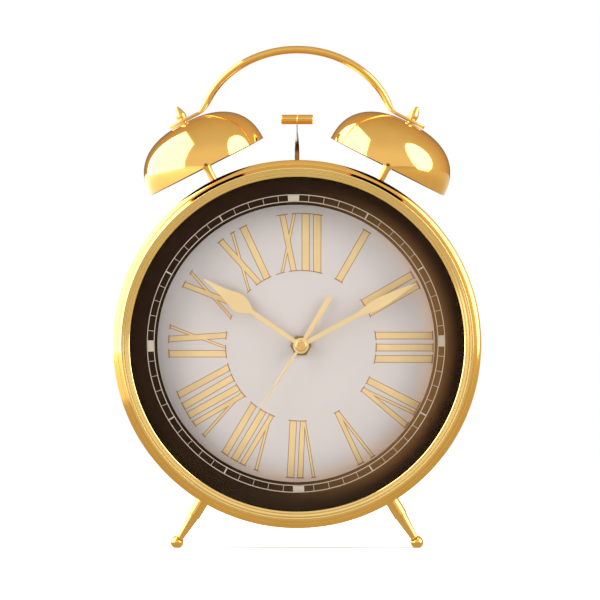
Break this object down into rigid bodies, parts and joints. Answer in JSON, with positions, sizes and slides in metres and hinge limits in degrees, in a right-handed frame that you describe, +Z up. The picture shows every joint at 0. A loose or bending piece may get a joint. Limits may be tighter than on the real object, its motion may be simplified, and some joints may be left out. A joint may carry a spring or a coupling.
{
  "type": "twin-bell alarm clock",
  "caption": "Round desk alarm clock in polished gold with twin bells, a hammer between them, an arched handle, roman-numeral dial and slim ball-footed legs.",
  "frame": {"origin": "on the surface that the clock stands on, under the middle of its outer box", "axes": "+Z up, -Y out of the dial towards the viewer, +X to the viewer's right"},
  "size_m": [0.2, 0.076, 0.2731],
  "materials": {
    "polished_gold": "mirror-polished gold plate",
    "satin_gold": "satin gold lacquer on stamped hands",
    "clear_glass": "flat clear glass",
    "dark_ring": "glossy near-black brown with an off-white printed minute track",
    "dial_white": "matte off-white with gold roman numerals outlined in brown",
    "black_plastic": "black moulded plastic",
    "white_plastic": "natural white moulded plastic",
    "zinc_steel": "zinc-plated steel",
    "plain_brass": "turned brass",
    "copper_wire": "lacquered copper winding",
    "circuit_green": "green circuit board",
    "battery_sleeve": "plain dark battery sleeve",
    "magnet_dark": "dark bonded magnet"
  },
  "bodies": {
    "root": {"back_cover": "polished_gold", "back_cover_screw_1": "zinc_steel", "back_cover_screw_2": "zinc_steel", "back_cover_screw_3": "zinc_steel", "back_cover_screw_4": "zinc_steel", "battery": "battery_sleeve", "battery_leaf_contact": "zinc_steel", "battery_plate_contact": "zinc_steel", "battery_tray": "black_plastic", "bell_left": "polished_gold", "bell_post_left": "polished_gold", "bell_post_right": "polished_gold", "bell_right": "polished_gold", "bezel": "polished_gold", "case_drum": "polished_gold", "circuit_board": "circuit_green", "dial": "dial_white", "dial_spacer": "black_plastic", "finial_left": "polished_gold", "finial_right": "polished_gold", "glass": "clear_glass", "hammer_bracket": "zinc_steel", "hammer_coil": "copper_wire", "hammer_core": "zinc_steel", "hammer_pivot_pin": "zinc_steel", "handle": "polished_gold", "leg_front_left": "polished_gold", "leg_front_right": "polished_gold", "leg_rear_left": "polished_gold", "leg_rear_right": "polished_gold", "minute_ring": "dark_ring", "motor_coil": "copper_wire", "motor_stator": "zinc_steel", "movement_front_plate": "white_plastic", "movement_middle_plate": "zinc_steel", "movement_nut": "plain_brass", "movement_rear_shell": "white_plastic", "post_nut_left": "zinc_steel", "post_nut_right": "zinc_steel"},
    "seconds": {"second_arbor": "plain_brass", "second_hand": "satin_gold"},
    "third": {"third_wheel": "plain_brass"},
    "centre": {"centre_wheel": "plain_brass"},
    "intermediate": {"intermediate_wheel": "white_plastic"},
    "rotor": {"rotor": "magnet_dark"},
    "minutes": {"minute_tube": "white_plastic", "minute_hand": "satin_gold"},
    "motion": {"motion_wheel": "white_plastic"},
    "hours": {"hour_wheel": "white_plastic", "hour_hand": "satin_gold"},
    "time_setting": {"time_set_shaft": "white_plastic", "time_set_knob": "black_plastic"},
    "alarm": {"alarm_wheel": "white_plastic", "alarm_hand": "satin_gold"},
    "alarm_setting": {"alarm_set_shaft": "white_plastic", "alarm_set_knob": "black_plastic"},
    "hammer": {"hammer_stem": "zinc_steel", "hammer_head": "polished_gold"},
    "switch": {"alarm_switch": "black_plastic"},
    "battery_door": {"battery_cover": "black_plastic"}
  },
  "joints": [
    {"name": "second_spin", "type": "hinge", "parent": "root", "child": "seconds", "pos_m": [0.0021, -0.02445, 0.10993], "axis": [0, 1, 0], "continuous": true},
    {"name": "third_spin", "type": "hinge", "parent": "root", "child": "third", "pos_m": [-0.0087, -0.00145, 0.10993], "axis": [0, 1, 0], "continuous": true},
    {"name": "centre_spin", "type": "hinge", "parent": "root", "child": "centre", "pos_m": [0.0021, -0.00445, 0.10993], "axis": [0, 1, 0], "continuous": true},
    {"name": "intermediate_spin", "type": "hinge", "parent": "root", "child": "intermediate", "pos_m": [0.00525, 0.00155, 0.11538], "axis": [0, 1, 0], "continuous": true},
    {"name": "rotor_spin", "type": "hinge", "parent": "root", "child": "rotor", "pos_m": [0.01032, -0.00045, 0.11723], "axis": [0, 1, 0], "continuous": true},
    {"name": "minute_spin", "type": "hinge", "parent": "root", "child": "minutes", "pos_m": [0.0021, -0.02245, 0.10993], "axis": [0, 1, 0], "continuous": true},
    {"name": "motion_spin", "type": "hinge", "parent": "root", "child": "motion", "pos_m": [0.0021, -0.00745, 0.09841], "axis": [0, 1, 0], "continuous": true},
    {"name": "hour_spin", "type": "hinge", "parent": "root", "child": "hours", "pos_m": [0.0021, -0.00995, 0.10993], "axis": [0, 1, 0], "continuous": true},
    {"name": "time_setting_turn", "type": "hinge", "parent": "root", "child": "time_setting", "pos_m": [0.0021, 0.03155, 0.08689], "axis": [0, 1, 0], "continuous": true},
    {"name": "alarm_spin", "type": "hinge", "parent": "root", "child": "alarm", "pos_m": [0.0021, -0.01215, 0.10993], "axis": [0, 1, 0], "continuous": true},
    {"name": "alarm_setting_turn", "type": "hinge", "parent": "root", "child": "alarm_setting", "pos_m": [0.0141, 0.03155, 0.10993], "axis": [0, 1, 0], "continuous": true},
    {"name": "hammer_swing", "type": "hinge", "parent": "root", "child": "hammer", "pos_m": [0, -0.00345, 0.18483], "axis": [0, 1, 0], "range_deg": [-14.8, 14.8], "stiffness_Nm_per_rad": 0.03},
    {"name": "alarm_switch_slide", "type": "slide", "parent": "root", "child": "switch", "axis": [1, 0, 0], "range_m": [0, 0.004]},
    {"name": "battery_cover_slide", "type": "slide", "parent": "root", "child": "battery_door", "axis": [-1, 0, 0], "range_m": [0, 0.02]}
  ],
  "couplings": [
    {"joint": "third_spin", "follows": "second_spin", "ratio": -0.13333},
    {"joint": "centre_spin", "follows": "second_spin", "ratio": 0.016667},
    {"joint": "intermediate_spin", "follows": "second_spin", "ratio": -6},
    {"joint": "rotor_spin", "follows": "second_spin", "ratio": 30},
    {"joint": "motion_spin", "follows": "minute_spin", "ratio": -0.33333},
    {"joint": "hour_spin", "follows": "minute_spin", "ratio": 0.083333},
    {"joint": "time_setting_turn", "follows": "minute_spin", "ratio": 1},
    {"joint": "alarm_setting_turn", "follows": "alarm_spin", "ratio": -4}
  ]
}
